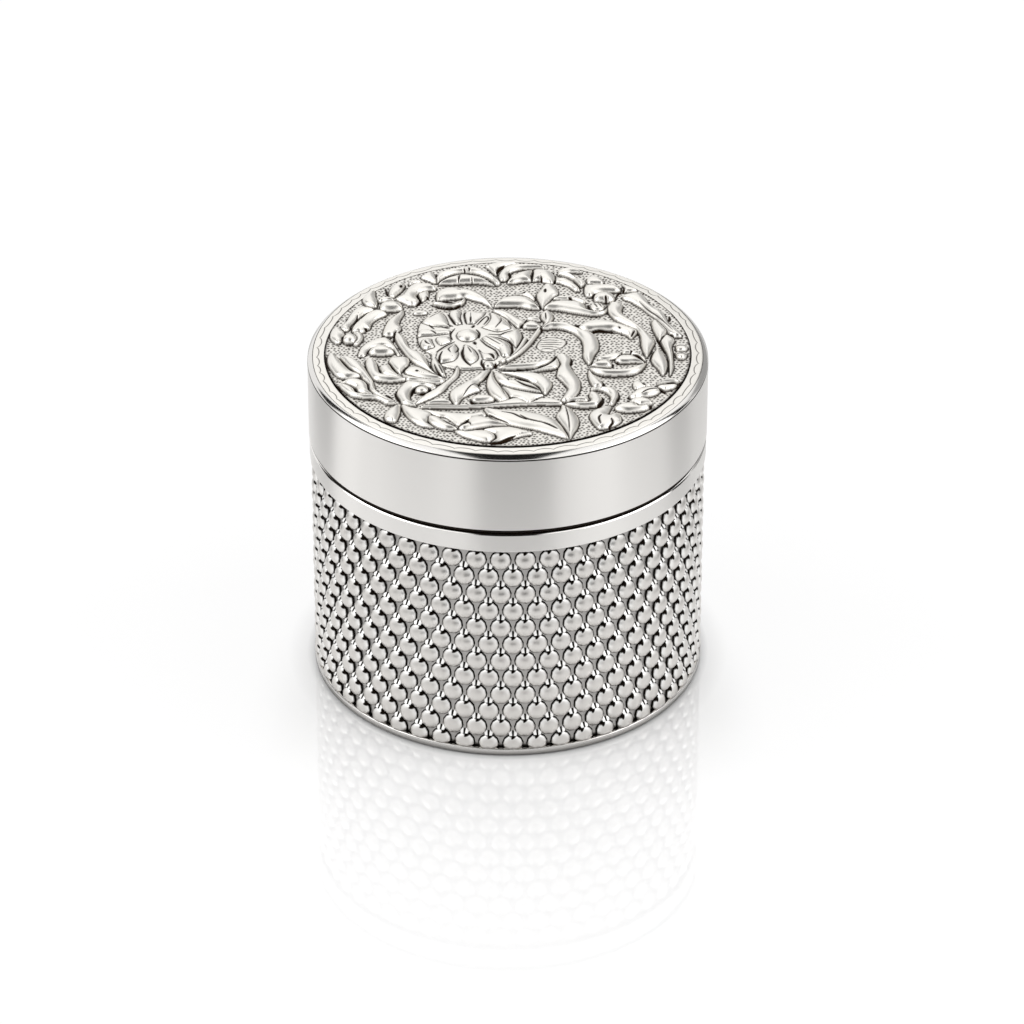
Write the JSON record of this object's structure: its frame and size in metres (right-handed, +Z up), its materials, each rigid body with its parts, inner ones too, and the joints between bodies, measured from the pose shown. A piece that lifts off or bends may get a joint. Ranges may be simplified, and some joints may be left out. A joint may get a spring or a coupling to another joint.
{
  "type": "round keepsake box",
  "caption": "Round silver keepsake box: a beaded drum on a foot ring, and a lift-off lid with a chased floral plaque in a narrow border.",
  "frame": {"origin": "centre of the face the box stands on, at the bottom of the foot ring", "axes": "+Z up along the axis of the turned box, towards the lid; -Y towards the viewer"},
  "size_m": [0.076, 0.076, 0.0684],
  "materials": {
    "polished_silver": "polished",
    "beaded_silver": "polished",
    "chased_silver": "satin",
    "satin_silver": "satin"
  },
  "bodies": {
    "box_body": {"foot_ring": "polished_silver", "base_plate": "satin_silver", "drum_wall": "satin_silver", "beaded_sleeve": "beaded_silver", "rim_band": "polished_silver", "collar": "satin_silver"},
    "lid": {"lid_band": "polished_silver", "lid_inner_sleeve": "satin_silver", "lid_underplate": "satin_silver", "lid_edge_wire": "polished_silver", "lid_border": "polished_silver", "lid_plaque": "chased_silver"}
  },
  "joints": [
    {"name": "lid_lift", "type": "slide", "parent": "box_body", "child": "lid", "axis": [0, 0, 1], "range_m": [0, 0.04]}
  ]
}
